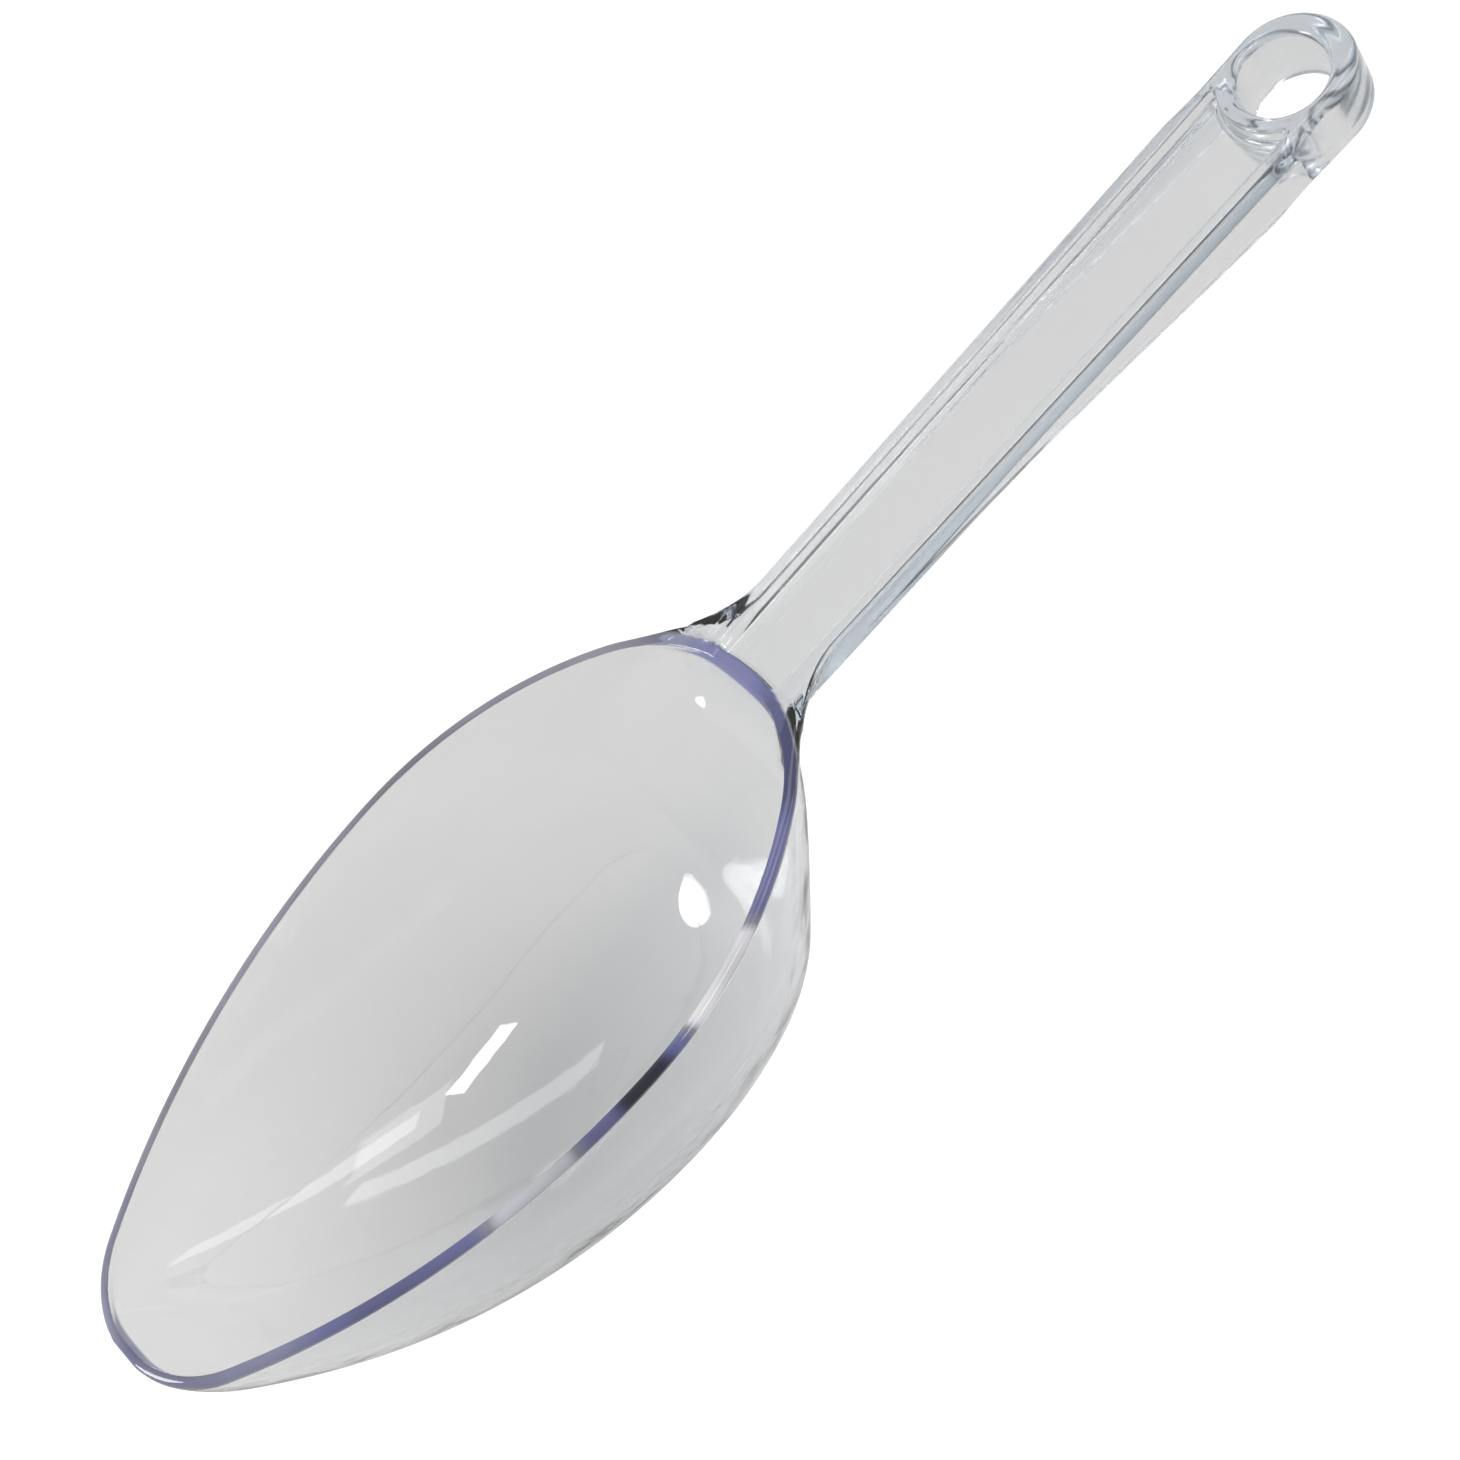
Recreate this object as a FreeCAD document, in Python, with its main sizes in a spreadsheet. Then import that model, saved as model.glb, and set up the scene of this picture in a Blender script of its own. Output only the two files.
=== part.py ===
import FreeCAD, Part
import math
import os

# Clear plastic ice scoop: a boat-shaped bowl and a channel handle with a hanging eye, all one moulding.
# Units are millimetres.  +X runs from the lip to the hanging eye, +Z is up out of the bowl, and the
# rim lies in one horizontal plane.  The origin is at the middle of the bottom of the bounding box.
# Each named region of the moulding is its own closed solid, and neighbours meet face to face.

DIMS = [
    ("overall_length", 225.0, "lip to the far end of the hanging eye"),
    ("rim_level", 42.0, "height of the rim and of the handle top above the lowest point"),
    ("bowl_length", 115.0, "lip to the outside of the bowl's back wall at the rim"),
    ("bowl_width", 61.8, "widest outside width of the bowl at the rim"),
    ("widest_from_lip", 70.0, "distance from the lip to the widest place"),
    ("wall", 1.5, "wall thickness of the bowl"),
    ("nose_radius", 16.5, "plan radius of the rounded front"),
    ("rear_radius", 24.0, "plan radius of the rounded back"),
    ("keel_depth", 42.15, "depth of the full underside arc, trimmed flat at rim_level"),
    ("keel_from_lip", 65.0, "distance from the lip to the deepest place"),
    ("back_slope", 58.0, "slope of the back wall, degrees from horizontal"),
    ("heel_radius", 20.0, "side-view radius between the underside and the back wall"),
    ("section_power", 2.3, "roundness of the cross-section, 2 is an ellipse"),
    ("rim_band", 2.5, "height of the rim band"),
    ("lip_reach", 17.0, "length of the scooping lip along X"),
    ("nose_reach", 28.0, "length of the bowl's front region along X"),
    ("back_reach", 27.0, "length of the bowl's back region along X"),
    ("rear_rim_reach", 8.0, "length of the rim region where the handle joins, along X"),
    ("floor_height", 11.0, "height of the bowl floor region above the lowest point"),
    ("neck_half_width", 7.5, "handle half width where the neck fillet starts"),
    ("neck_fillet", 15.0, "plan radius between the handle side and the rim"),
    ("under_fillet", 12.0, "side-view radius between the handle and the back wall"),
    ("neck_from_lip", 123.0, "distance from the lip to the start of the neck fillet"),
    ("end_radius", 8.7, "plan radius of the handle end"),
    ("handle_depth", 5.0, "depth of the handle near the bowl"),
    ("eye_depth", 10.0, "depth of the handle at the hanging eye"),
    ("handle_wall", 1.9, "thickness of the handle side walls"),
    ("recess_depth", 2.5, "depth of the channel in the top of the handle"),
    ("web", 2.1, "thickness of the web under the channel"),
    ("hollow_from_lip", 128.0, "distance from the lip to the start of the underside hollow"),
    ("eye_from_lip", 215.0, "distance from the lip to the middle of the hanging hole"),
    ("eye_hole_radius", 6.1, "radius of the hanging hole"),
    ("eye_ring_radius", 8.8, "radius of the ring where it closes the channel"),
    ("eye_edge_round", 1.6, "rounding of the outer edges of the eye"),
    ("hole_edge_round", 0.9, "rounding of the edges of the hanging hole"),
]

doc = FreeCAD.newDocument("IceScoop")
sheet = doc.addObject("Spreadsheet::Sheet", "Dims")
for row, (alias, value, note) in enumerate(DIMS, start=1):
    sheet.set("A%d" % row, note)
    sheet.set("B%d" % row, str(value))
    sheet.setAlias("B%d" % row, alias)
doc.recompute()


def dim(alias):
    """A driving dimension read back from the sheet."""
    return float(sheet.get(alias))


rim_z = dim("rim_level")
lip_x = -dim("overall_length") / 2.0
half_width = dim("bowl_width") / 2.0
bowl_length = dim("bowl_length")
widest = dim("widest_from_lip")
nose_r = dim("nose_radius")
rear_r = dim("rear_radius")
keel_x = dim("keel_from_lip")
power = dim("section_power")

# Plan outline: four tangent arcs a side.  The two long radii follow from the tangency conditions.
side_r = ((widest - nose_r) ** 2 + half_width ** 2 - nose_r ** 2) / (2.0 * (half_width - nose_r))
rear_cx = bowl_length - rear_r
shoulder_r = ((rear_cx - widest) ** 2 + half_width ** 2 - rear_r ** 2) / (2.0 * (half_width - rear_r))

# Side view: underside arc through the lip, then the heel radius, then the straight sloping back.
keel_r = (keel_x ** 2 + dim("keel_depth") ** 2) / (2.0 * dim("keel_depth"))
keel_up = keel_r - dim("keel_depth")
slope = math.radians(dim("back_slope"))
heel_r = dim("heel_radius")
heel_p = (math.sin(slope) * (bowl_length - keel_x) - heel_r) / math.cos(slope) + keel_up
heel_q = math.tan(slope)
heel_a = 1.0 + heel_q ** 2
heel_b = -2.0 * heel_p * heel_q
heel_c = heel_p ** 2 - (keel_r - heel_r) ** 2
heel_u = (-heel_b - math.sqrt(heel_b ** 2 - 4.0 * heel_a * heel_c)) / (2.0 * heel_a)
heel_v = heel_p - heel_q * heel_u
heel_cx = keel_x + heel_u
heel_cd = heel_v - keel_up
heel_reach = math.hypot(heel_u, heel_v)


def plan_half_width(x, inset):
    """Half width of the rim outline at distance x from the lip, moved in by inset."""
    nose_end = nose_r - (nose_r - inset) * (widest - nose_r) / (side_r - nose_r)
    rear_start = rear_cx + (rear_r - inset) * (rear_cx - widest) / (shoulder_r - rear_r)
    if x <= nose_end:
        return math.sqrt(max((nose_r - inset) ** 2 - (x - nose_r) ** 2, 0.0))
    if x <= widest:
        return math.sqrt((side_r - inset) ** 2 - (x - widest) ** 2) - (side_r - half_width)
    if x <= rear_start:
        return math.sqrt((shoulder_r - inset) ** 2 - (x - widest) ** 2) - (shoulder_r - half_width)
    return math.sqrt(max((rear_r - inset) ** 2 - (x - rear_cx) ** 2, 0.0))


def profile_depth(x, inset):
    """Depth of the side-view profile below the rim at distance x from the lip."""
    heel_start = keel_x + (keel_r - inset) * heel_u / heel_reach
    heel_end = heel_cx + (heel_r - inset) * math.sin(slope)
    if x <= heel_start:
        return math.sqrt(max((keel_r - inset) ** 2 - (x - keel_x) ** 2, 0.0)) - keel_up
    if x <= heel_end:
        return math.sqrt((heel_r - inset) ** 2 - (x - heel_cx) ** 2) + heel_cd
    return ((bowl_length - x) * math.sin(slope) - inset) / math.cos(slope)


def profile_ends(depth, inset):
    """Front and rear limits of the side-view profile at a depth below the rim."""
    front = keel_x - math.sqrt((keel_r - inset) ** 2 - (depth + keel_up) ** 2)
    line_end = heel_cd + (heel_r - inset) * math.cos(slope)
    heel_low = (keel_r - inset) * heel_v / heel_reach - keel_up
    if depth <= line_end:
        rear = bowl_length - (depth * math.cos(slope) + inset) / math.sin(slope)
    elif depth <= heel_low:
        rear = heel_cx + math.sqrt((heel_r - inset) ** 2 - (depth - heel_cd) ** 2)
    else:
        rear = 2.0 * keel_x - front
    return front, rear


def level_wire(depth, inset, steps):
    """Closed outline of the bowl surface at a depth below the rim, as a right and a left half."""
    if depth <= 0.0:
        front, rear = inset, bowl_length - inset
    else:
        front, rear = profile_ends(depth, inset)
    middle = (front + rear) / 2.0
    reach = (rear - front) / 2.0
    right = [FreeCAD.Vector(lip_x + front, 0.0, rim_z - depth)]
    for k in range(1, steps):
        x = middle - reach * math.cos(math.pi * k / steps)
        y = plan_half_width(x, inset)
        if depth > 0.0:
            share = min(depth / profile_depth(x, inset), 1.0)
            y *= (1.0 - share ** power) ** (1.0 / power)
        right.append(FreeCAD.Vector(lip_x + x, y, rim_z - depth))
    right.append(FreeCAD.Vector(lip_x + rear, 0.0, rim_z - depth))
    left = [FreeCAD.Vector(p.x, -p.y, p.z) for p in reversed(right)]
    outward = FreeCAD.Vector(0.0, 1.0, 0.0)
    halves = []
    for points, sense in ((right, 1.0), (left, -1.0)):
        curve = Part.BSplineCurve()
        curve.interpolate(Points=points, InitialTangent=outward * sense, FinalTangent=outward * -sense)
        halves.append(curve.toShape())
    return Part.Wire(halves)


def hull_solid(inset, lowest):
    """Solid under the rim plane bounded by the bowl surface moved in by inset."""
    full = dim("keel_depth") - inset
    last = math.degrees(math.asin(lowest / full))
    angles = [0.0, 7.0, 14.0, 22.0, 30.0, 38.0, 46.0, 54.0, 62.0, 69.0, 75.0, 80.0, last]
    wires = [level_wire(full * math.sin(math.radians(a)), inset, 26) for a in angles]
    return Part.makeLoft(wires, True, False)


def feature(name, shape):
    """A document object that holds a shape computed by Part functions."""
    obj = doc.addObject("Part::Feature", name)
    obj.Label = name
    obj.Shape = shape
    return obj


def box(name, x, y, z, length, width, height):
    """A cutter box; every argument after the name is an expression on the sheet."""
    obj = doc.addObject("Part::Box", name)
    obj.Label = name
    obj.setExpression("Placement.Base.x", x)
    obj.setExpression("Placement.Base.y", y)
    obj.setExpression("Placement.Base.z", z)
    obj.setExpression("Length", length)
    obj.setExpression("Width", width)
    obj.setExpression("Height", height)
    return obj


def common(name, base, tool):
    obj = doc.addObject("Part::Common", name)
    obj.Label = name
    obj.Base = base
    obj.Tool = tool
    return obj


def cut(name, base, tool):
    obj = doc.addObject("Part::Cut", name)
    obj.Label = name
    obj.Base = base
    obj.Tool = tool
    return obj


# ---- Bowl shell -----------------------------------------------------------------------------------
hull_outer = feature("hull_outer", hull_solid(0.0, dim("rim_level")))
hull_inner = feature("hull_inner", hull_solid(dim("wall"), dim("rim_level") - dim("wall")))
bowl_shell = cut("bowl_shell", hull_outer, hull_inner)

LIP = "-Dims.overall_length / 2"
WIDE = "Dims.bowl_width"
BAND_Z = "Dims.rim_level - Dims.rim_band"
REAR_RIM_X = LIP + " + Dims.bowl_length - Dims.rear_rim_reach"
BACK_X = LIP + " + Dims.bowl_length - Dims.back_reach"
SIDE_LENGTH = "Dims.bowl_length - Dims.back_reach - Dims.nose_reach"
RIM_LENGTH = "Dims.bowl_length - Dims.rear_rim_reach - Dims.lip_reach"

bowl_zones = [
    ("scooping_lip", LIP + " - 1", "-" + WIDE, BAND_Z, "Dims.lip_reach + 1", "2 * " + WIDE, "Dims.rim_band + 1"),
    ("rim_left", LIP + " + Dims.lip_reach", "-" + WIDE, BAND_Z, RIM_LENGTH, WIDE, "Dims.rim_band + 1"),
    ("rim_right", LIP + " + Dims.lip_reach", "0", BAND_Z, RIM_LENGTH, WIDE, "Dims.rim_band + 1"),
    ("bowl_nose", LIP + " - 1", "-" + WIDE, "-1", "Dims.nose_reach + 1", "2 * " + WIDE, BAND_Z + " + 1"),
    ("bowl_side_left", LIP + " + Dims.nose_reach", "-" + WIDE, "Dims.floor_height", SIDE_LENGTH, WIDE,
     BAND_Z + " - Dims.floor_height"),
    ("bowl_side_right", LIP + " + Dims.nose_reach", "0", "Dims.floor_height", SIDE_LENGTH, WIDE,
     BAND_Z + " - Dims.floor_height"),
    ("bowl_floor", LIP + " + Dims.nose_reach", "-" + WIDE, "-1", SIDE_LENGTH, "2 * " + WIDE,
     "Dims.floor_height + 1"),
    ("bowl_back", BACK_X, "-" + WIDE, "-1", "Dims.back_reach + 1", "2 * " + WIDE, BAND_Z + " + 1"),
]
nodes = []
for zone in bowl_zones:
    cutter = box("zone_" + zone[0], *zone[1:])
    nodes.append(common(zone[0], bowl_shell, cutter))

# The rim at the back is its left half and that half's mirror image, so that both sides are the same.
rear_cutter = box("zone_rear_rim", REAR_RIM_X, "-" + WIDE, BAND_Z, "Dims.rear_rim_reach + 1", WIDE,
                  "Dims.rim_band + 1")
rear_left = common("rear_rim_left", bowl_shell, rear_cutter)
rear_right = doc.addObject("Part::Mirroring", "rear_rim_right")
rear_right.Source = rear_left
rear_right.Normal = FreeCAD.Vector(0.0, 1.0, 0.0)
rear_rim = doc.addObject("Part::Fuse", "rear_rim")
rear_rim.Label = "rear_rim"
rear_rim.Base = rear_left
rear_rim.Tool = rear_right
rear_rim.Refine = True
nodes.append(rear_rim)

# ---- Handle ---------------------------------------------------------------------------------------
end_r = dim("end_radius")
end_cx = dim("overall_length") - end_r
neck_x = dim("neck_from_lip")
neck_y = dim("neck_half_width")
taper = math.asin((end_r - neck_y) / (end_cx - neck_x))
fillet_r = dim("neck_fillet")


def at(x, y, z=0.0):
    """A point from its distance to the lip, its offset from the centre line and its height."""
    return FreeCAD.Vector(lip_x + x, y, z)


def side_offset(x, inset):
    """Half width of the tapering part of the handle, moved in by inset."""
    return neck_y + (x - neck_x) * math.tan(taper) - inset


def mirrored_face(upper):
    """A face on the plane z = 0 from the upper half outline, mirrored in the centre line."""
    half = Part.Wire(upper)
    start = half.OrderedVertexes[0].Point
    finish = half.OrderedVertexes[-1].Point
    edges = list(half.Edges)
    if abs(start.y) > 1e-6:
        edges.append(Part.makeLine(start, FreeCAD.Vector(start.x, 0.0, 0.0)))
    if abs(finish.y) > 1e-6:
        edges.append(Part.makeLine(finish, FreeCAD.Vector(finish.x, 0.0, 0.0)))
    base = FreeCAD.Vector(0.0, 0.0, 0.0)
    other = [edge.mirror(base, FreeCAD.Vector(0.0, 1.0, 0.0)) for edge in edges]
    rim_edges = [e for e in edges + other if not (abs(e.CenterOfMass.y) < 1e-6)]
    return Part.Face(Part.Wire(Part.__sortEdges__(rim_edges)))


# Plan of the handle: neck fillet tangent to the rear arc of the rim, tapered side, round end.
fillet_cy = neck_y + fillet_r
fillet_cx = rear_cx + math.sqrt((rear_r + fillet_r) ** 2 - fillet_cy ** 2)
join_x = rear_cx + rear_r * (fillet_cx - rear_cx) / (rear_r + fillet_r)
join_y = rear_r * fillet_cy / (rear_r + fillet_r)
mid_angle = (math.atan2(join_y - fillet_cy, join_x - fillet_cx) - math.pi / 2.0) / 2.0
fillet_mid = at(fillet_cx + fillet_r * math.cos(mid_angle), fillet_cy + fillet_r * math.sin(mid_angle))
end_join = at(end_cx - end_r * math.sin(taper), end_r * math.cos(taper))
end_mid = at(end_cx + end_r * math.cos(math.radians(45.0)), end_r * math.sin(math.radians(45.0)))
plan_upper = [
    Part.makeLine(at(101.0, join_y), at(join_x, join_y)),
    Part.Arc(at(join_x, join_y), fillet_mid, at(fillet_cx, neck_y)).toShape(),
    Part.makeLine(at(fillet_cx, neck_y), end_join),
    Part.Arc(end_join, end_mid, at(dim("overall_length"), 0.0)).toShape(),
]
plan_solid = mirrored_face(plan_upper).extrude(FreeCAD.Vector(0.0, 0.0, 2.0 * rim_z))

# Side view of the handle: shallow near the bowl, swelling to the depth of the eye.
top = rim_z
shallow = dim("handle_depth")
deep = dim("eye_depth")
under_points = [
    at(neck_x + 5.0, 0.0, top - shallow),
    at(neck_x + 22.0, 0.0, top - shallow - 0.2),
    at(neck_x + 42.0, 0.0, top - shallow - 1.0),
    at(neck_x + 62.0, 0.0, top - shallow - 3.0),
    at(neck_x + 80.0, 0.0, top - deep + 0.4),
    at(neck_x + 92.0, 0.0, top - deep),
]
under_curve = Part.BSplineCurve()
level_tangent = FreeCAD.Vector(1.0, 0.0, 0.0)
under_curve.interpolate(Points=under_points, InitialTangent=level_tangent, FinalTangent=level_tangent)
side_edges = [
    Part.makeLine(at(101.0, 0.0, top), at(101.0, 0.0, top - shallow)),
    Part.makeLine(at(101.0, 0.0, top - shallow), under_points[0]),
    under_curve.toShape(),
    Part.makeLine(under_points[-1], at(230.0, 0.0, top - deep)),
    Part.makeLine(at(230.0, 0.0, top - deep), at(230.0, 0.0, top)),
    Part.makeLine(at(230.0, 0.0, top), at(101.0, 0.0, top)),
]
side_face = Part.Face(Part.Wire(side_edges))
side_face.translate(FreeCAD.Vector(0.0, -20.0, 0.0))
side_solid = side_face.extrude(FreeCAD.Vector(0.0, 40.0, 0.0))

handle_plan = feature("handle_plan", plan_solid)
handle_side = feature("handle_side", side_solid)
handle_full = common("handle_full", handle_plan, handle_side)
handle_joined = cut("handle_joined", handle_full, hull_outer)


def channel_prism(start, floor, ceiling):
    """Prism between the handle side walls, from a distance to the lip up to the eye."""
    inset = dim("handle_wall") / math.cos(taper)
    stop = dim("eye_from_lip")
    corners = [
        at(start, -side_offset(start, inset), floor),
        at(stop, -side_offset(stop, inset), floor),
        at(stop, side_offset(stop, inset), floor),
        at(start, side_offset(start, inset), floor),
    ]
    face = Part.Face(Part.makePolygon(corners + corners[:1]))
    return face.extrude(FreeCAD.Vector(0.0, 0.0, ceiling - floor))


ring_zone = doc.addObject("Part::Cylinder", "ring_zone")
ring_zone.setExpression("Radius", "Dims.eye_ring_radius")
ring_zone.setExpression("Height", "2 * Dims.rim_level")
ring_zone.setExpression("Placement.Base.x", LIP + " + Dims.eye_from_lip")
end_zone = box("end_zone", LIP + " + Dims.eye_from_lip", "-" + WIDE, "0", WIDE, "2 * " + WIDE, "2 * Dims.rim_level")
eye_zone = doc.addObject("Part::Fuse", "eye_zone")
eye_zone.Base = ring_zone
eye_zone.Tool = end_zone

web_top = rim_z - dim("recess_depth")
web_low = web_top - dim("web")
core = feature("core", channel_prism(101.0, 0.0, 2.0 * rim_z))
recess_prism = feature("recess_prism", channel_prism(101.0, web_top, 2.0 * rim_z))
hollow_prism = feature("hollow_prism", channel_prism(dim("hollow_from_lip"), 0.0, web_low))

hole = doc.addObject("Part::Cylinder", "eye_hole")
hole.setExpression("Radius", "Dims.eye_hole_radius")
hole.setExpression("Height", "2 * Dims.rim_level")
hole.setExpression("Placement.Base.x", LIP + " + Dims.eye_from_lip")

# Eye: the closed ring at the end, with a round hole and rounded edges.
eye_block = common("eye_block", handle_joined, eye_zone)
eye_ring = cut("eye_ring", eye_block, hole)

# Between the eye and the bowl: two side walls and the web between them.
stem = cut("stem", handle_joined, eye_zone)
stem_inner = common("stem_inner", stem, core)
stem_open = cut("stem_open", stem_inner, recess_prism)
handle_web = cut("handle_web", stem_open, hollow_prism)
stem_walls = cut("stem_walls", stem, core)

NECK_X = LIP + " + Dims.neck_from_lip"
REACH_X = "Dims.overall_length - Dims.neck_from_lip"
ROOT_X = LIP + " + Dims.bowl_length - Dims.rear_radius"
ROOT_LENGTH = "Dims.neck_from_lip - Dims.bowl_length + Dims.rear_radius"
TALL = "2 * Dims.rim_level"
wall_zones = [
    ("handle_wall_left", NECK_X, "-" + WIDE, "0", REACH_X, WIDE, TALL),
    ("handle_wall_right", NECK_X, "0", "0", REACH_X, WIDE, TALL),
    ("neck_left", ROOT_X, "-" + WIDE, "0", ROOT_LENGTH, WIDE, TALL),
    ("neck_right", ROOT_X, "0", "0", ROOT_LENGTH, WIDE, TALL),
]
for zone in wall_zones:
    cutter = box("zone_" + zone[0], *zone[1:])
    nodes.append(common(zone[0], stem_walls, cutter))
nodes.append(handle_web)

# Fillet region under the neck, between the underside of the handle and the sloping back wall.
under_r = dim("under_fillet")
corner_x = bowl_length - shallow * math.cos(slope) / math.sin(slope)
tangent = under_r * math.tan(slope / 2.0)
start_point = at(corner_x + tangent, 0.0, top - shallow)
wall_point = at(corner_x - tangent * math.cos(slope), 0.0, top - shallow - tangent * math.sin(slope))
fillet_centre = at(corner_x + tangent, 0.0, top - shallow - under_r)
bend = math.pi / 2.0 + slope / 2.0
arc_mid = fillet_centre + FreeCAD.Vector(under_r * math.cos(bend), 0.0, under_r * math.sin(bend))
inner_low = at(101.0, 0.0, wall_point.z)
inner_high = at(101.0, 0.0, top - shallow)
fillet_edges = [
    Part.makeLine(inner_high, start_point),
    Part.Arc(start_point, arc_mid, wall_point).toShape(),
    Part.makeLine(wall_point, inner_low),
    Part.makeLine(inner_low, inner_high),
]
fillet_face = Part.Face(Part.Wire(fillet_edges))
under_half = neck_y - dim("handle_wall") / 2.0
fillet_face.translate(FreeCAD.Vector(0.0, -under_half, 0.0))
under_block = feature("under_block", fillet_face.extrude(FreeCAD.Vector(0.0, 2.0 * under_half, 0.0)))
nodes.append(cut("neck_underside", under_block, hull_outer))
doc.recompute()


def is_outer_edge(edge):
    """True for the plan-outline edges of the eye's top and bottom faces."""
    box_ = edge.BoundBox
    level = abs(box_.ZMin - box_.ZMax) < 1e-4
    flat = level and (abs(box_.ZMin - top) < 1e-3 or abs(box_.ZMin - (top - deep)) < 1e-3)
    middle = edge.valueAt((edge.FirstParameter + edge.LastParameter) / 2.0)
    radius = math.hypot(middle.x - lip_x - end_cx, middle.y)
    return flat and middle.x > lip_x + end_cx and abs(radius - end_r) < 0.3


def is_hole_edge(edge):
    """True for the two round edges of the hanging hole."""
    if not isinstance(edge.Curve, Part.Circle):
        return False
    return abs(edge.Curve.Radius - dim("eye_hole_radius")) < 1e-4


ring_shape = eye_ring.Shape.Solids[0]
ring_shape = ring_shape.makeFillet(dim("hole_edge_round"), [e for e in ring_shape.Edges if is_hole_edge(e)])
ring_shape = ring_shape.makeFillet(dim("eye_edge_round"), [e for e in ring_shape.Edges if is_outer_edge(e)])
hanging_eye = feature("hanging_eye", ring_shape)
nodes.append(hanging_eye)
doc.recompute()

# ---- Check and write ------------------------------------------------------------------------------
for obj in doc.Objects:
    if "Invalid" in obj.State or "Error" in obj.State:
        raise RuntimeError("object %s did not recompute" % obj.Name)
os.makedirs("parts", exist_ok=True)
total = 0.0
for node in nodes:
    shape = node.Shape
    if shape.isNull() or not shape.isValid() or not shape.Solids:
        raise RuntimeError("shape of %s is not a valid solid" % node.Label)
    shape.exportStep("parts/%s.step" % node.Label)
    total += shape.Volume
    size = shape.BoundBox
    print("%-18s solids %d volume %8.1f x %.1f..%.1f y %.1f..%.1f z %.1f..%.1f" % (
        node.Label, len(shape.Solids), shape.Volume, size.XMin, size.XMax, size.YMin, size.YMax,
        size.ZMin, size.ZMax))
print("nodes %d, plastic volume %.1f mm3" % (len(nodes), total))
print("level capacity %.1f mm3" % hull_inner.Shape.Volume)
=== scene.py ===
"""Looks of a clear plastic ice scoop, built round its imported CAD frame.

The real scoop is one moulding, so the 16 named CAD regions are shown by one continuous closed mesh.
Its surface is the zero level of a field made of the same outlines as the CAD.  It differs from the CAD
in its roundings, the curve of the handle's underside and the web, as noted beside those sizes, and in
the fillets under the neck, by up to about 1.4 mm.
The field works in millimetres, in the row frame: X from the lip to the hanging eye, Z up, the rim in
one level plane.
"""

import math

import bpy
import numpy as np
from mathutils import Matrix, Quaternion, Vector


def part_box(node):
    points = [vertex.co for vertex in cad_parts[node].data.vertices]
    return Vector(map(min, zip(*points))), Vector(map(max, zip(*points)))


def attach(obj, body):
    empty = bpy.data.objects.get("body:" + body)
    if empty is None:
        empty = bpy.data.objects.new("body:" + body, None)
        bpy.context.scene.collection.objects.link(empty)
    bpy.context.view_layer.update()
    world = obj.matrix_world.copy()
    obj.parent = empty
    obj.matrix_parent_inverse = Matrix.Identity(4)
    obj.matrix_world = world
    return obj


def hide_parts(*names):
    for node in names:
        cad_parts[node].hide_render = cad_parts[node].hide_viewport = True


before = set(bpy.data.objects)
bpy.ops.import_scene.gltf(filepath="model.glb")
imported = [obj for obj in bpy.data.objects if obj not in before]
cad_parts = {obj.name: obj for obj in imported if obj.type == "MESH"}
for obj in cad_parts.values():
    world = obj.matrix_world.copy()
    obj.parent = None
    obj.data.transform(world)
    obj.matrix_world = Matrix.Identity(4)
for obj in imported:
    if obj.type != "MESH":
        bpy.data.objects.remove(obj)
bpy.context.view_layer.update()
MM = 0.001

# ---- Sizes read from the frame ---------------------------------------------------------------------


def edge(node, corner, axis):
    """One side of a node's box, in millimetres: corner 0 is the low one and 1 the high one."""
    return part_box(node)[corner][axis] / MM


LIP_X = edge("scooping_lip", 0, 0)
BOWL_END = edge("rear_rim", 1, 0)
HANDLE_END = edge("hanging_eye", 1, 0)
RIM_Z = edge("rim_right", 1, 2)
BOWL_HALF = edge("rim_right", 1, 1)
EYE_DEPTH = RIM_Z - edge("hanging_eye", 0, 2)
BOWL_LENGTH = BOWL_END - LIP_X

# ---- Sizes of the moulding, millimetres, the same as in the CAD -------------------------------------

WALL = 1.5
NOSE_R = 16.5
REAR_R = 24.0
WIDEST = 70.0
KEEL_X = 65.0
KEEL_DEPTH = 42.15
BACK_SLOPE = math.radians(58.0)
HEEL_R = 20.0
POWER = 2.3

NECK_X = 123.0
NECK_HALF = 7.5
NECK_FILLET = 15.0
UNDER_FILLET = 12.0
END_R = 8.7
STEM_DEPTH = 5.0
HANDLE_WALL = 1.9
RECESS_DEPTH = 2.5
WEB = 2.1
HOLLOW_X = 128.0
EYE_X = 215.0
HOLE_R = 6.1
RING_R = 8.8

# The handle's underside swells between these distances past NECK_X.  The CAD draws this as a curve
# through points, which is within about 0.2 mm of it.
SWELL_START = 22.0
SWELL_END = 96.0

# ---- Roundings of this mesh, millimetres ------------------------------------------------------------
# The CAD leaves its edges sharp, except 1.6 round the eye and 0.9 at the edges of the hole.

RIM_ROUND = 1.2
INNER_ROUND = 0.3
EDGE_ROUND = 0.6
STEM_ROUND = 0.5
EYE_ROUND = 1.6
HOLE_ROUND = 1.2
CORNER_ROUND = 0.9
REST_ROUND = 0.2

# Not in the CAD, where the web has one thickness: it is thicker by WEB_EXTRA where the hollow begins,
# and thins to WEB over WEB_RUN.
WEB_EXTRA = 0.8
WEB_RUN = 30.0

# The rim's edge is painted violet as a stand-in for edge glow, and painted greyer on the far side and round the lip.
# On the near side it has one dark stretch of painted shade with a paler painted glint on each side, and
# painted shade darker again towards the neck.  Bearings are in degrees from the middle of the bowl; tones run
# from 0 dark indigo shade to 1 pale glint.
RIM_TONE = 0.52
FAR_TONE = 0.7
STRETCHES = (
    # middle, half width, tone
    (-74.0, 10.0, 0.0),
    (-108.0, 18.0, 0.8),
    (-50.0, 13.0, 0.95),
    (-14.0, 12.0, 0.25),
    (170.0, 14.0, 0.64),
    (-168.0, 16.0, 0.62),
)

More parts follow.
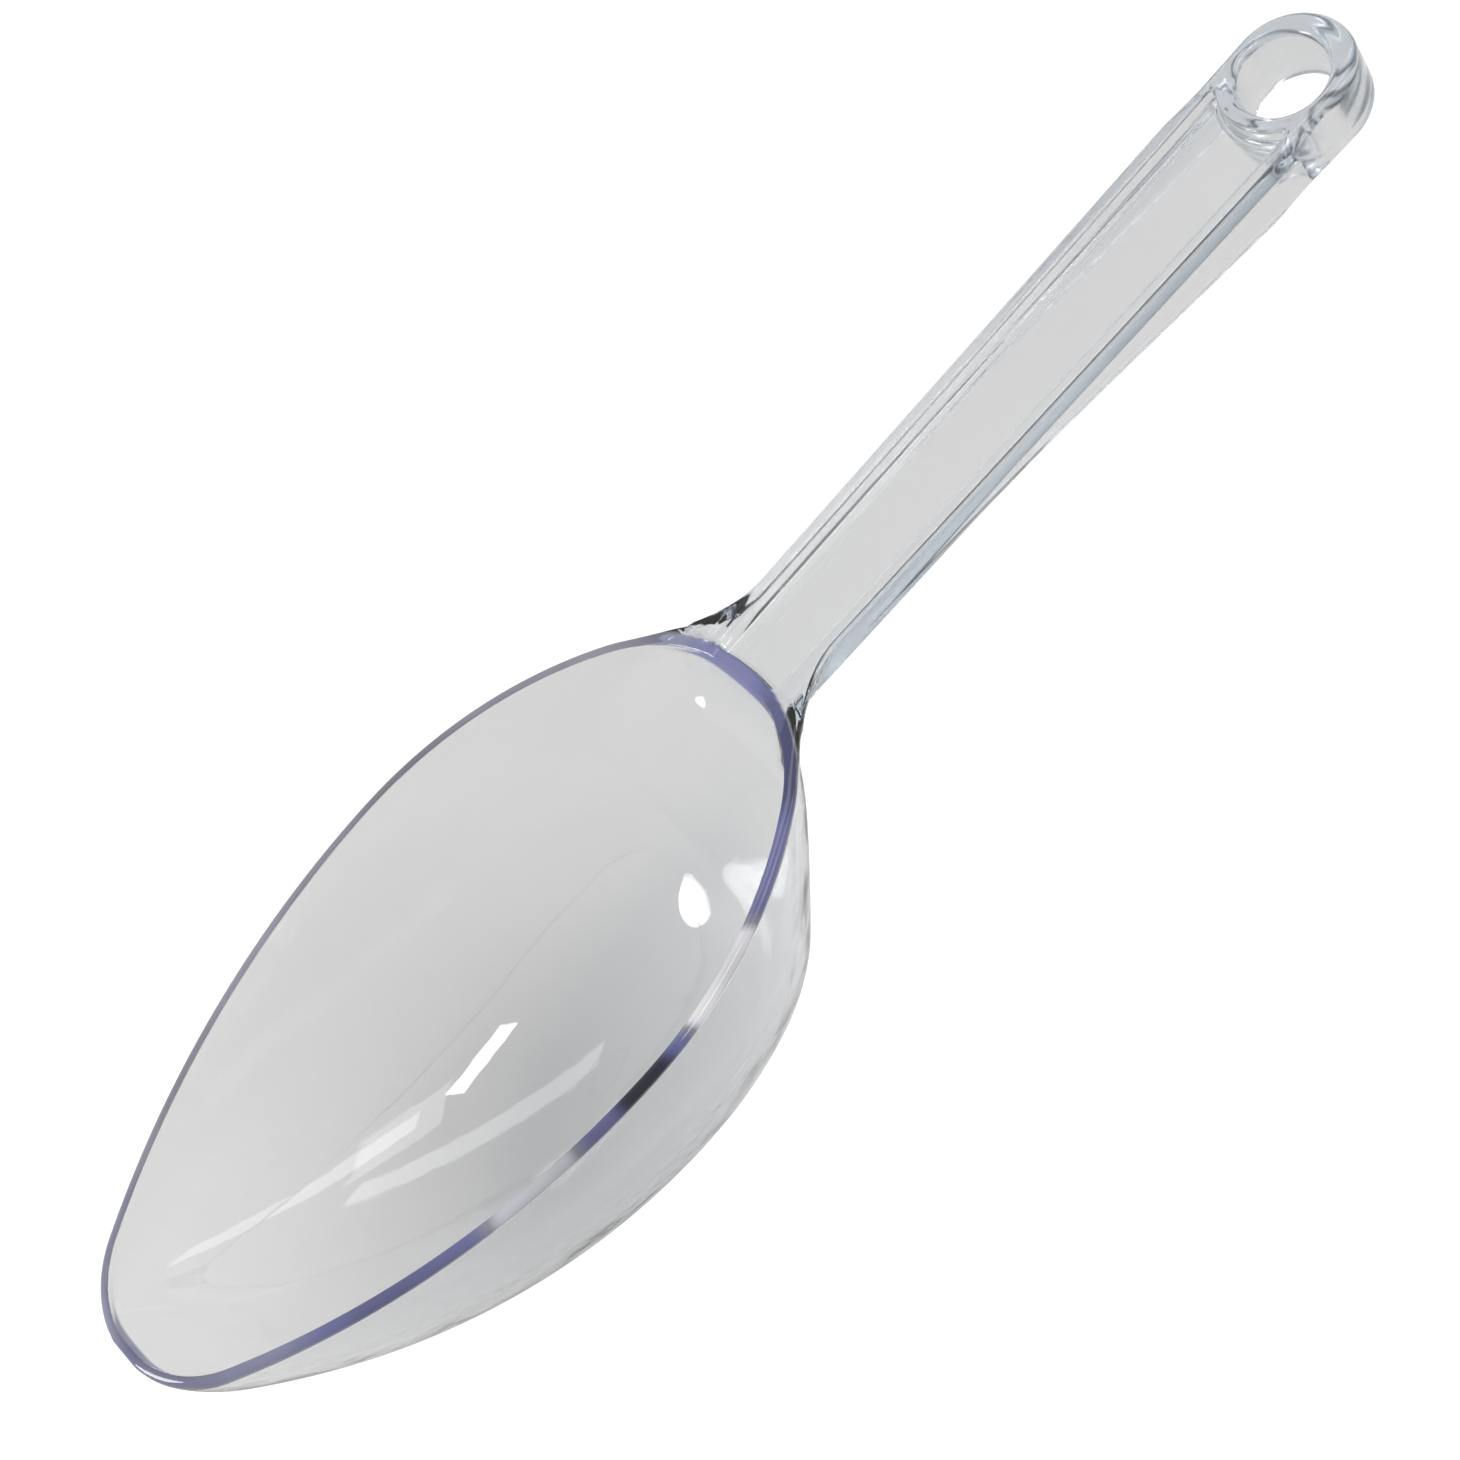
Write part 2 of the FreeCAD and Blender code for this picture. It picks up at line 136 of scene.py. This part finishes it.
# ---- Outlines ---------------------------------------------------------------------------------------

side_r = ((WIDEST - NOSE_R) ** 2 + BOWL_HALF ** 2 - NOSE_R ** 2) / (2.0 * (BOWL_HALF - NOSE_R))
rear_cx = BOWL_LENGTH - REAR_R
shoulder_r = ((rear_cx - WIDEST) ** 2 + BOWL_HALF ** 2 - REAR_R ** 2) / (2.0 * (BOWL_HALF - REAR_R))

keel_r = (KEEL_X ** 2 + KEEL_DEPTH ** 2) / (2.0 * KEEL_DEPTH)
keel_up = keel_r - KEEL_DEPTH
heel_p = (math.sin(BACK_SLOPE) * (BOWL_LENGTH - KEEL_X) - HEEL_R) / math.cos(BACK_SLOPE) + keel_up
heel_q = math.tan(BACK_SLOPE)
heel_root = math.sqrt((heel_p * heel_q) ** 2 - (1.0 + heel_q ** 2) * (heel_p ** 2 - (keel_r - HEEL_R) ** 2))
heel_u = (heel_p * heel_q - heel_root) / (1.0 + heel_q ** 2)
heel_v = heel_p - heel_q * heel_u
heel_reach = math.hypot(heel_u, heel_v)

end_cx = HANDLE_END - LIP_X - END_R
taper = math.asin((END_R - NECK_HALF) / (end_cx - NECK_X))

# A round fillet between faces that do not meet squarely is matched by this smaller reach in the field.
beside_reach = NECK_FILLET * (1.0 - NECK_HALF / REAR_R)
under_reach = UNDER_FILLET * (1.0 - math.cos(BACK_SLOPE))


def arc(x, centre, radius, base):
    """Height over x of a circle's upper half, and its slope."""
    u = x - centre
    rise = np.sqrt(np.maximum(radius ** 2 - u ** 2, 1e-4))
    return base + rise, -u / rise


def plan_half_width(x, inset):
    """Half width of the rim outline x mm from the lip, moved in by inset, and its slope."""
    nose_end = NOSE_R - (NOSE_R - inset) * (WIDEST - NOSE_R) / (side_r - NOSE_R)
    rear_start = rear_cx + (REAR_R - inset) * (rear_cx - WIDEST) / (shoulder_r - REAR_R)
    nose = arc(x, NOSE_R, NOSE_R - inset, 0.0)
    side = arc(x, WIDEST, side_r - inset, BOWL_HALF - side_r)
    shoulder = arc(x, WIDEST, shoulder_r - inset, BOWL_HALF - shoulder_r)
    rear = arc(x, rear_cx, REAR_R - inset, 0.0)
    zones = [x <= nose_end, x <= WIDEST, x <= rear_start]
    return tuple(np.select(zones, [nose[i], side[i], shoulder[i]], rear[i]) for i in (0, 1))


def profile_depth(x, inset):
    """Depth of the underside x mm from the lip, moved in by inset, and its slope."""
    heel_start = KEEL_X + (keel_r - inset) * heel_u / heel_reach
    heel_end = KEEL_X + heel_u + (HEEL_R - inset) * math.sin(BACK_SLOPE)
    keel = arc(x, KEEL_X, keel_r - inset, -keel_up)
    heel = arc(x, KEEL_X + heel_u, HEEL_R - inset, heel_v - keel_up)
    back = ((BOWL_LENGTH - x) * math.tan(BACK_SLOPE) - inset / math.cos(BACK_SLOPE), -math.tan(BACK_SLOPE))
    zones = [x <= heel_start, x <= heel_end]
    return tuple(np.select(zones, [keel[i], heel[i]], back[i]) for i in (0, 1))


def beyond(start, towards, x, y):
    """Positive where (x, y) lies to the left of the line from start in the direction towards."""
    return towards[0] * (y - start[1]) - towards[1] * (x - start[0])


def plan_distance(x, y):
    """Distance in plan to the rim outline, negative inside."""
    y = np.abs(y)
    side_drop = side_r - BOWL_HALF
    shoulder_drop = shoulder_r - BOWL_HALF
    nose = np.hypot(x - NOSE_R, y) - NOSE_R
    side = np.hypot(x - WIDEST, y + side_drop) - side_r
    shoulder = np.hypot(x - WIDEST, y + shoulder_drop) - shoulder_r
    rear = np.hypot(x - rear_cx, y) - REAR_R
    at_nose = beyond((NOSE_R, 0.0), (NOSE_R - WIDEST, side_drop), x, y) > 0.0
    at_rear = beyond((rear_cx, 0.0), (rear_cx - WIDEST, shoulder_drop), x, y) < 0.0
    return np.select([at_nose, at_rear, x < WIDEST], [nose, rear, side], shoulder)


def profile_distance(x, depth):
    """Distance in side view to the underside outline, negative inside."""
    heel_x, heel_z = KEEL_X + heel_u, heel_v - keel_up
    normal = (math.sin(BACK_SLOPE), math.cos(BACK_SLOPE))
    keel = np.hypot(x - KEEL_X, depth + keel_up) - keel_r
    heel = np.hypot(x - heel_x, depth - heel_z) - HEEL_R
    back = (x - BOWL_LENGTH) * normal[0] + depth * normal[1]
    at_keel = beyond((heel_x, heel_z), (heel_u, heel_v), x, depth) > 0.0
    at_back = beyond((heel_x, heel_z), normal, x, depth) < 0.0
    return np.select([at_keel, at_back], [keel, back], heel)


def hull(x, y, depth, inset):
    """Distance to the bowl surface moved in by inset, good near it and negative inside."""
    front = KEEL_X - math.sqrt((keel_r - inset) ** 2 - keel_up ** 2) + 0.06
    rear = BOWL_LENGTH - inset / math.sin(BACK_SLOPE) - 0.06
    inner = np.clip(x, front, rear)
    width, width_slope = plan_half_width(inner, inset)
    low, low_slope = profile_depth(inner, inset)
    a = np.abs(y) / width
    b = np.maximum(depth, 0.0) / low
    total = a ** POWER + b ** POWER + 1e-9
    grow = total ** (1.0 / POWER - 1.0)
    lean = np.minimum(a, 1.0) ** POWER * width_slope / width + np.minimum(b, 1.0) ** POWER * low_slope / low
    by_x = grow * np.where(inner == x, lean, 0.0)
    by_y = grow * a ** (POWER - 1.0) / width
    by_z = grow * b ** (POWER - 1.0) / low
    off = (grow * total - 1.0) / np.sqrt(by_x ** 2 + by_y ** 2 + by_z ** 2 + 1e-12)
    return np.maximum(off, np.maximum(plan_distance(x, y), profile_distance(x, depth)) + inset)


def both(a, b, radius):
    """Where two fields overlap, with the edge between them rounded."""
    outside = np.hypot(np.maximum(a + radius, 0.0), np.maximum(b + radius, 0.0))
    return np.minimum(np.maximum(a, b), -radius) + outside


def either(a, b, radius):
    """Two fields joined, with a fillet between them."""
    return -both(-a, -b, radius)


def ease(x, start, end):
    """0 before start, 1 after end and smooth between them."""
    t = np.clip((x - start) / (end - start), 0.0, 1.0)
    return t * t * (3.0 - 2.0 * t)


def under_depth(x):
    """Depth of the handle's underside, which swells towards the eye."""
    return STEM_DEPTH + (EYE_DEPTH - STEM_DEPTH) * ease(x, NECK_X + SWELL_START, NECK_X + SWELL_END)


def handle_side(x, y):
    """Distance in plan to the outline of the handle."""
    straight = (np.abs(y) - NECK_HALF) * math.cos(taper) - (x - NECK_X) * math.sin(taper)
    rounded = np.hypot(x - end_cx, y) - END_R
    return np.where(x < end_cx - END_R * math.sin(taper), straight, rounded)


def field(points):
    """The moulding's field at row-frame points in millimetres: negative in the plastic."""
    x = points[..., 0] - LIP_X
    y = points[..., 1]
    depth = RIM_Z - points[..., 2]
    side = handle_side(x, y)
    at_eye = ease(x, EYE_X - RING_R - 6.0, EYE_X - RING_R + 2.0)

    slab = both(side, depth - under_depth(x), STEM_ROUND + (EYE_ROUND - STEM_ROUND) * at_eye)
    slab = np.maximum(slab, BOWL_LENGTH - REAR_R - x)
    fillet = beside_reach + (under_reach - beside_reach) * ease(depth, 0.0, STEM_DEPTH)
    body = either(hull(x, y, depth, 0.0), slab, fillet)
    body = both(body, depth - RIM_Z, REST_ROUND)
    on_stem = ease(x, BOWL_LENGTH - 6.0, BOWL_LENGTH + 8.0)
    top_round = RIM_ROUND + (EDGE_ROUND - RIM_ROUND) * on_stem + (EYE_ROUND - EDGE_ROUND) * at_eye
    body = both(body, -depth, top_round)
    body = both(body, -hull(x, y, depth, WALL), INNER_ROUND)

    hole = np.hypot(x - EYE_X, y)
    channel = both(side + HANDLE_WALL, RING_R - hole, CORNER_ROUND)
    rear_wall = np.maximum(REAR_R - np.hypot(x - rear_cx, y), rear_cx - x)
    recess = both(both(channel, rear_wall, CORNER_ROUND), depth - RECESS_DEPTH, CORNER_ROUND)
    web_low = RECESS_DEPTH + WEB + WEB_EXTRA * (1.0 - ease(x, HOLLOW_X, HOLLOW_X + WEB_RUN))
    hollow = both(both(channel, HOLLOW_X - x, CORNER_ROUND), web_low - depth, CORNER_ROUND)
    body = both(body, -recess, EDGE_ROUND)
    body = both(body, -hollow, EDGE_ROUND)
    return both(body, HOLE_R - hole, HOLE_ROUND)


# ---- Mesh of the zero level -------------------------------------------------------------------------


def steps(*spans):
    """Grid lines through spans given as (start, end, spacing)."""
    lines = [np.linspace(a, b, int(round((b - a) / s)), endpoint=False) for a, b, s in spans]
    return np.concatenate(lines + [[spans[-1][1]]])


def outline(x):
    """Half width of the whole moulding's plan, never under the handle's, for grid lines to follow."""
    bowl = plan_half_width(np.clip(x, 0.3, BOWL_LENGTH - 0.3), 0.0)[0]
    fillet_cy = NECK_HALF + NECK_FILLET
    fillet_cx = rear_cx + math.sqrt((REAR_R + NECK_FILLET) ** 2 - fillet_cy ** 2)
    join_x = rear_cx + REAR_R * (fillet_cx - rear_cx) / (REAR_R + NECK_FILLET)
    neck = fillet_cy - np.sqrt(np.maximum(NECK_FILLET ** 2 - (x - fillet_cx) ** 2, 0.0))
    stem = NECK_HALF + (np.minimum(x, end_cx) - NECK_X) * math.tan(taper)
    return np.maximum(np.select([x < join_x, x < fillet_cx], [bowl, neck], stem), NECK_HALF)


def warped_grid():
    """Grid points whose rows run along the rim and along the handle, closer together near edges."""
    along = steps(
        (-1.2, 5.0, 0.36), (5.0, 104.0, 0.78), (104.0, 126.0, 0.5), (126.0, 202.0, 0.85), (202.0, 226.0, 0.42),
    )
    across = steps((0.0, 1.0, 1.0 / 26.0))
    fringe = steps((2.4, -2.1, -0.3))
    height = steps((-0.8, 33.0, 0.84), (33.0, 39.9, 0.53), (39.9, 42.6, 0.27))
    half = outline(along)[:, None]
    side = np.concatenate([across[None, :-1] * (half - fringe[0]), half - fringe[None, :]], axis=1)
    lateral = np.concatenate([-side[:, :0:-1], side], axis=1)
    shape = (len(along), lateral.shape[1], len(height))
    grid = np.empty(shape + (3,))
    grid[..., 0] = (along + LIP_X)[:, None, None]
    grid[..., 1] = lateral[:, :, None]
    grid[..., 2] = height + (RIM_Z - 42.0)
    return grid


def gradient(points):
    reach = 0.004
    parts = []
    for axis in range(3):
        shift = np.zeros(3)
        shift[axis] = reach
        parts.append((field(points + shift) - field(points - shift)) / (2.0 * reach))
    return np.stack(parts, axis=-1)


def settle(points, rounds):
    """Moves points onto the zero level along the field's gradient."""
    for _ in range(rounds):
        slope = gradient(points)
        size = np.maximum((slope ** 2).sum(axis=-1), 0.05)
        points = points - np.clip(field(points) / size, -0.5, 0.5)[:, None] * slope
    return points


def untangle(values):
    """Fills the corner of each grid face that two sheets would cross, so that they never share an edge."""
    tangled = True
    while tangled:
        tangled = False
        for axis in range(3):
            face = np.moveaxis(values, axis, 0)
            four = [face[:, :-1, :-1], face[:, :-1, 1:], face[:, 1:, :-1], face[:, 1:, 1:]]
            sign = [part < 0.0 for part in four]
            crossed = np.argwhere((sign[0] == sign[3]) & (sign[1] == sign[2]) & (sign[0] != sign[1]))
            near = np.stack([part[tuple(crossed.T)] for part in four], axis=-1)
            corner = np.where(near < 0.0, np.inf, near).argmin(axis=-1)
            face[crossed[:, 0], crossed[:, 1] + corner // 2, crossed[:, 2] + corner % 2] = -1e-3
            tangled = tangled or len(crossed) > 0


def net(grid):
    """Vertices and outward quads of the zero level: one vertex in each grid cell that it crosses."""
    values = field(grid)
    untangle(values)
    inside = values < 0.0
    count = tuple(n - 1 for n in values.shape)
    corners = [(i, j, k) for i in (0, 1) for j in (0, 1) for k in (0, 1)]
    filled = sum(inside[i:i + count[0], j:j + count[1], k:k + count[2]].astype(np.int8) for i, j, k in corners)
    cells = np.argwhere((filled > 0) & (filled < 8))
    number = np.full(count, -1, dtype=np.int64)
    number[tuple(cells.T)] = np.arange(len(cells))

    place = np.zeros((len(cells), 3))
    hits = np.zeros(len(cells))
    for a in corners:
        for b in corners:
            if b <= a or sum(abs(p - q) for p, q in zip(a, b)) != 1:
                continue
            ia, ib = cells + a, cells + b
            va, vb = values[tuple(ia.T)], values[tuple(ib.T)]
            pa, pb = grid[tuple(ia.T)], grid[tuple(ib.T)]
            crossed = (va < 0.0) != (vb < 0.0)
            share = np.where(crossed, va / np.where(crossed, va - vb, 1.0), 0.0)
            place += crossed[:, None] * (pa + (pb - pa) * share[:, None])
            hits += crossed
    place /= hits[:, None]

    quads = []
    for axis in range(3):
        one, two = (axis + 1) % 3, (axis + 2) % 3
        low = [slice(1, -1)] * 3
        low[axis] = slice(0, -1)
        high = list(low)
        high[axis] = slice(1, None)
        first, second = inside[tuple(low)], inside[tuple(high)]
        crossings = np.argwhere(first != second)
        outward = first[tuple(crossings.T)]
        base = crossings + 1
        base[:, axis] -= 1
        ring = []
        for back_one, back_two in ((1, 1), (0, 1), (0, 0), (1, 0)):
            cell = base.copy()
            cell[:, one] -= back_one
            cell[:, two] -= back_two
            ring.append(number[tuple(cell.T)])
        ring = np.stack(ring, axis=-1)
        quads.append(np.where(outward[:, None], ring, ring[:, ::-1]))
    return place, np.concatenate(quads)


def relax(points, quads, rounds):
    """Evens out the mesh: each vertex slides towards its neighbours along the surface."""
    pairs = np.concatenate([quads[:, [i, (i + 1) % 4]] for i in range(4)])
    pairs = np.concatenate([pairs, pairs[:, ::-1]])
    links = np.bincount(pairs[:, 0], minlength=len(points))[:, None]
    for _ in range(rounds):
        total = np.stack([np.bincount(pairs[:, 0], points[pairs[:, 1], i], len(points)) for i in range(3)], axis=-1)
        pull = total / links - points
        normal = gradient(points)
        normal /= np.linalg.norm(normal, axis=-1, keepdims=True)
        pull -= normal * (pull * normal).sum(axis=-1, keepdims=True)
        points = settle(points + 0.5 * pull, 1)
    return points


points, quads = net(warped_grid())
points = settle(points, 4)
points = relax(points, quads, 6)
points = settle(points, 3)
normals = gradient(points)
normals /= np.linalg.norm(normals, axis=-1, keepdims=True)

mesh = bpy.data.meshes.new("scoop_moulding")
mesh.from_pydata((points * MM).tolist(), [], quads.tolist())
mesh.validate()
mesh.shade_smooth()
mesh.normals_split_custom_set_from_vertices(normals.tolist())
# Where the rim's painted shade, edge glow and glints show at each vertex: full on the level and rounded part of the
# edge.
facing = ease(normals[:, 2], 0.02, 0.35) * ease(points[:, 2], RIM_Z - RIM_ROUND - 0.2, RIM_Z - RIM_ROUND + 0.3)
from_lip = points[:, 0] - LIP_X
on_rim = 1.0 - ease(plan_distance(from_lip, points[:, 1]), 0.05, 0.5)
# The painted light along the rim by bearing: edge glow, lighter on the far side, with painted shade and glint
# stretches.
bearing = np.degrees(np.arctan2(points[:, 1], from_lip - 60.0))
tone = RIM_TONE + (FAR_TONE - RIM_TONE) * ease(bearing, 5.0, 20.0) * (1.0 - ease(bearing, 155.0, 170.0))
for middle, half_width, stretch_tone in STRETCHES:
    tone += (stretch_tone - tone) * (1.0 - ease(np.abs(bearing - middle), 0.5 * half_width, half_width))
held = ease(from_lip, BOWL_LENGTH + 1.0, BOWL_LENGTH + 12.0)
for name, values in (("rim_painted_light", facing * on_rim), ("rim_painted_tone", tone), ("held", held)):
    mesh.attributes.new(name, "FLOAT", "POINT").data.foreach_set("value", values)
scoop = bpy.data.objects.new("scoop_moulding", mesh)
bpy.context.collection.objects.link(scoop)
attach(scoop, "root")
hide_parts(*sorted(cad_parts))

# ---- Materials --------------------------------------------------------------------------------------


def new_material(name):
    material = bpy.data.materials.new(name)
    material.use_nodes = True
    return material, material.node_tree.nodes, material.node_tree.links


def noise(nodes, links, place, scale, detail):
    """A noise texture in object metres: scale is waves per metre."""
    texture = nodes.new("ShaderNodeTexNoise")
    texture.inputs["Scale"].default_value = scale
    texture.inputs["Detail"].default_value = detail
    links.new(place, texture.inputs["Vector"])
    return texture.outputs["Fac"]


def span(nodes, links, value, low, high, out_low, out_high):
    """Maps a value from one range to another, held at the ends."""
    scale = nodes.new("ShaderNodeMapRange")
    for socket, number in zip(("From Min", "From Max", "To Min", "To Max"), (low, high, out_low, out_high)):
        scale.inputs[socket].default_value = number
    links.new(value, scale.inputs["Value"])
    return scale.outputs["Result"]


def attribute(nodes, name):
    """A value kept on the mesh's vertices."""
    reader = nodes.new("ShaderNodeAttribute")
    reader.attribute_name = name
    return reader.outputs["Fac"]


PLASTIC_IOR = 1.57
TINT_COLOUR = (0.25, 0.42, 0.58, 1.0)
TINT_DENSITY = 32.0
LAMP_LIGHT_THROUGH = (0.90, 0.90, 0.90, 1.0)


def clear_plastic():
    """Clear moulded plastic: a blue body tint that shows along the edges, soft moulding waviness, patchy
    polish, and a rim painted partly matt with the painted shade, edge glow and glints above."""
    material, nodes, links = new_material("clear_plastic")
    shader = nodes["Principled BSDF"]
    shader.inputs["Transmission Weight"].default_value = 1.0
    shader.inputs["IOR"].default_value = PLASTIC_IOR
    place = nodes.new("ShaderNodeTexCoord").outputs["Object"]

    polish = span(nodes, links, noise(nodes, links, place, 90.0, 4.0), 0.35, 0.75, 0.01, 0.06)
    handling = span(nodes, links, attribute(nodes, "held"), 0.0, 1.0, 0.0, 0.11)
    dull = nodes.new("ShaderNodeMath")
    dull.operation = "ADD"
    links.new(polish, dull.inputs[0])
    links.new(handling, dull.inputs[1])
    links.new(dull.outputs["Value"], shader.inputs["Roughness"])

    # The rim is drawn partly matt where its painted shade, edge glow and glints show, in noise patches.
    painted_rim = attribute(nodes, "rim_painted_light")
    patches = span(nodes, links, noise(nodes, links, place, 45.0, 3.0), 0.35, 0.65, 0.6, 1.0)
    amount = nodes.new("ShaderNodeMath")
    amount.operation = "MULTIPLY"
    links.new(painted_rim, amount.inputs[0])
    links.new(patches, amount.inputs[1])
    links.new(span(nodes, links, amount.outputs["Value"], 0.0, 1.0, 1.0, 0.15), shader.inputs["Transmission Weight"])
    # Tones of the rim's painted light: 0 dark indigo shade, 0.5 violet edge glow, 0.7 grey, 0.85 and 1 pale glints.
    tones = nodes.new("ShaderNodeValToRGB")
    tones.color_ramp.elements[0].color = (0.004, 0.004, 0.025, 1.0)
    tones.color_ramp.elements[1].color = (1.0, 1.0, 1.0, 1.0)
    tones.color_ramp.elements.new(0.5).color = (0.13, 0.135, 0.33, 1.0)
    tones.color_ramp.elements.new(0.7).color = (0.30, 0.30, 0.36, 1.0)
    tones.color_ramp.elements.new(0.85).color = (0.88, 0.88, 0.94, 1.0)
    links.new(attribute(nodes, "rim_painted_tone"), tones.inputs["Fac"])
    tint = nodes.new("ShaderNodeMix")
    tint.data_type = "RGBA"
    tint.inputs["A"].default_value = (0.96, 0.96, 0.96, 1.0)
    links.new(tones.outputs["Color"], tint.inputs["B"])
    links.new(painted_rim, tint.inputs["Factor"])
    links.new(tint.outputs["Result"], shader.inputs["Base Color"])

    bump = nodes.new("ShaderNodeBump")
    bump.inputs["Strength"].default_value = 0.25
    bump.inputs["Distance"].default_value = 0.0002
    links.new(noise(nodes, links, place, 140.0, 2.0), bump.inputs["Height"])
    links.new(bump.outputs["Normal"], shader.inputs["Normal"])

    body = nodes.new("ShaderNodeVolumeAbsorption")
    body.inputs["Color"].default_value = TINT_COLOUR
    body.inputs["Density"].default_value = TINT_DENSITY
    output = nodes["Material Output"]
    links.new(body.outputs["Volume"], output.inputs["Volume"])

    lit_through = nodes.new("ShaderNodeBsdfTransparent")
    lit_through.inputs["Color"].default_value = LAMP_LIGHT_THROUGH
    pick = nodes.new("ShaderNodeMixShader")
    links.new(nodes.new("ShaderNodeLightPath").outputs["Is Shadow Ray"], pick.inputs["Fac"])
    links.new(shader.outputs["BSDF"], pick.inputs[1])
    links.new(lit_through.outputs["BSDF"], pick.inputs[2])
    links.new(pick.outputs["Shader"], output.inputs["Surface"])
    return material


# Painted shadow under the bowl: SHADE_COLOUR at SHADE_MIDDLE, fading out to the painted grey shade seen through the
# plastic.
SHADE_MIDDLE = (-0.062, 0.012, 0.0)
SHADE_COLOUR = (0.497, 0.488, 0.480, 1.0)
THROUGH_SHADE_COLOUR = (0.665, 0.653, 0.642, 1.0)


def sweep():
    """White seen directly, and painted grey shade where it is seen through the plastic, with a painted shadow darker
    under the bowl.
    """
    material, nodes, links = new_material("floor")
    seen = nodes["Principled BSDF"]
    seen.inputs["Base Color"].default_value = (0.35, 0.35, 0.35, 1.0)
    seen.inputs["Roughness"].default_value = 0.9
    seen.inputs["Emission Color"].default_value = (1.0, 1.0, 1.0, 1.0)
    seen.inputs["Emission Strength"].default_value = 0.75
    place = nodes.new("ShaderNodeTexCoord").outputs["Object"]
    middle = nodes.new("ShaderNodeVectorMath")
    middle.operation = "DISTANCE"
    middle.inputs[1].default_value = SHADE_MIDDLE
    links.new(place, middle.inputs[0])
    shade = nodes.new("ShaderNodeMix")
    shade.data_type = "RGBA"
    shade.inputs["A"].default_value = SHADE_COLOUR
    shade.inputs["B"].default_value = THROUGH_SHADE_COLOUR
    links.new(span(nodes, links, middle.outputs["Value"], 0.008, 0.052, 0.0, 1.0), shade.inputs["Factor"])
    through = nodes.new("ShaderNodeBsdfDiffuse")
    links.new(shade.outputs["Result"], through.inputs["Color"])
    pick = nodes.new("ShaderNodeMixShader")
    links.new(nodes.new("ShaderNodeLightPath").outputs["Is Camera Ray"], pick.inputs["Fac"])
    links.new(through.outputs["BSDF"], pick.inputs[1])
    links.new(seen.outputs["BSDF"], pick.inputs[2])
    links.new(pick.outputs["Shader"], nodes["Material Output"].inputs["Surface"])
    return material


scoop.data.materials.append(clear_plastic())

# ---- Stage ------------------------------------------------------------------------------------------

bpy.ops.mesh.primitive_plane_add(size=6.0)
floor = bpy.context.object
floor.name = "floor"
floor.location.z = -0.0001
floor.data.materials.append(sweep())


def softbox(name, bearing, height, distance, width, tall, strength, lean=0.0, shape="RECTANGLE"):
    """An area lamp aimed at the bowl, with its bearing from the near side and its height in degrees.
    Lean turns its long side from upright towards larger bearings."""
    lamp = bpy.data.lights.new(name, "AREA")
    lamp.shape = shape
    lamp.size = width
    lamp.size_y = tall
    lamp.energy = strength * math.pi * width * tall * 4.0
    holder = bpy.data.objects.new(name, lamp)
    bpy.context.collection.objects.link(holder)
    turn, rise = math.radians(bearing), math.radians(height)
    away = Vector((math.sin(turn) * math.cos(rise), -math.cos(turn) * math.cos(rise), math.sin(rise)))
    holder.location = Vector(((KEEL_X + LIP_X) * MM, 0.0, 0.01)) + away * distance
    facing = away.to_track_quat("Z", "Y") @ Quaternion((0.0, 0.0, 1.0), math.radians(-lean))
    holder.rotation_euler = facing.to_euler()
    return holder


softbox("round_lamp", -110.0, 30.0, 0.9, 0.33, 0.50, 2.0, shape="ELLIPSE")
softbox("front_lamp", 22.0, 53.5, 0.9, 0.26, 0.12, 2.0)
softbox("side_strip", 55.0, 22.0, 1.0, 0.13, 0.90, 0.38, lean=-22.0)
softbox("upper_strip", 46.0, 42.0, 0.9, 0.28, 0.34, 0.30, lean=-24.0)
softbox("long_strip", 96.0, 66.0, 1.0, 0.17, 1.25, 0.38, lean=40.0)

world = bpy.data.worlds.new("studio")
bpy.context.scene.world = world
world.use_nodes = True
world.node_tree.nodes["Background"].inputs["Color"].default_value = (0.97, 0.975, 0.98, 1.0)
world.node_tree.nodes["Background"].inputs["Strength"].default_value = 0.75
bpy.context.scene.view_settings.view_transform = "Standard"

# ---- Camera -----------------------------------------------------------------------------------------

ELEVATION = math.radians(53.6)
AZIMUTH = math.radians(-4.1)
ROLL = math.radians(44.6)
DISTANCE = 0.4562
AIM = Vector((-0.0051, -0.0049, RIM_Z * MM))

back = Vector((
    math.sin(AZIMUTH) * math.cos(ELEVATION),
    -math.cos(AZIMUTH) * math.cos(ELEVATION),
    math.sin(ELEVATION),
))
level = Vector((math.cos(AZIMUTH), math.sin(AZIMUTH), 0.0))
upward = back.cross(level)
right = level * math.cos(ROLL) - upward * math.sin(ROLL)
up = level * math.sin(ROLL) + upward * math.cos(ROLL)

lens = bpy.data.cameras.new("camera")
lens.sensor_width = 36.0
lens.lens = 91.23
lens.clip_start = 0.01
camera = bpy.data.objects.new("camera", lens)
bpy.context.collection.objects.link(camera)
turn = Matrix((right, up, back)).transposed()
camera.matrix_world = Matrix.Translation(AIM + back * DISTANCE) @ turn.to_4x4()
bpy.context.scene.camera = camera
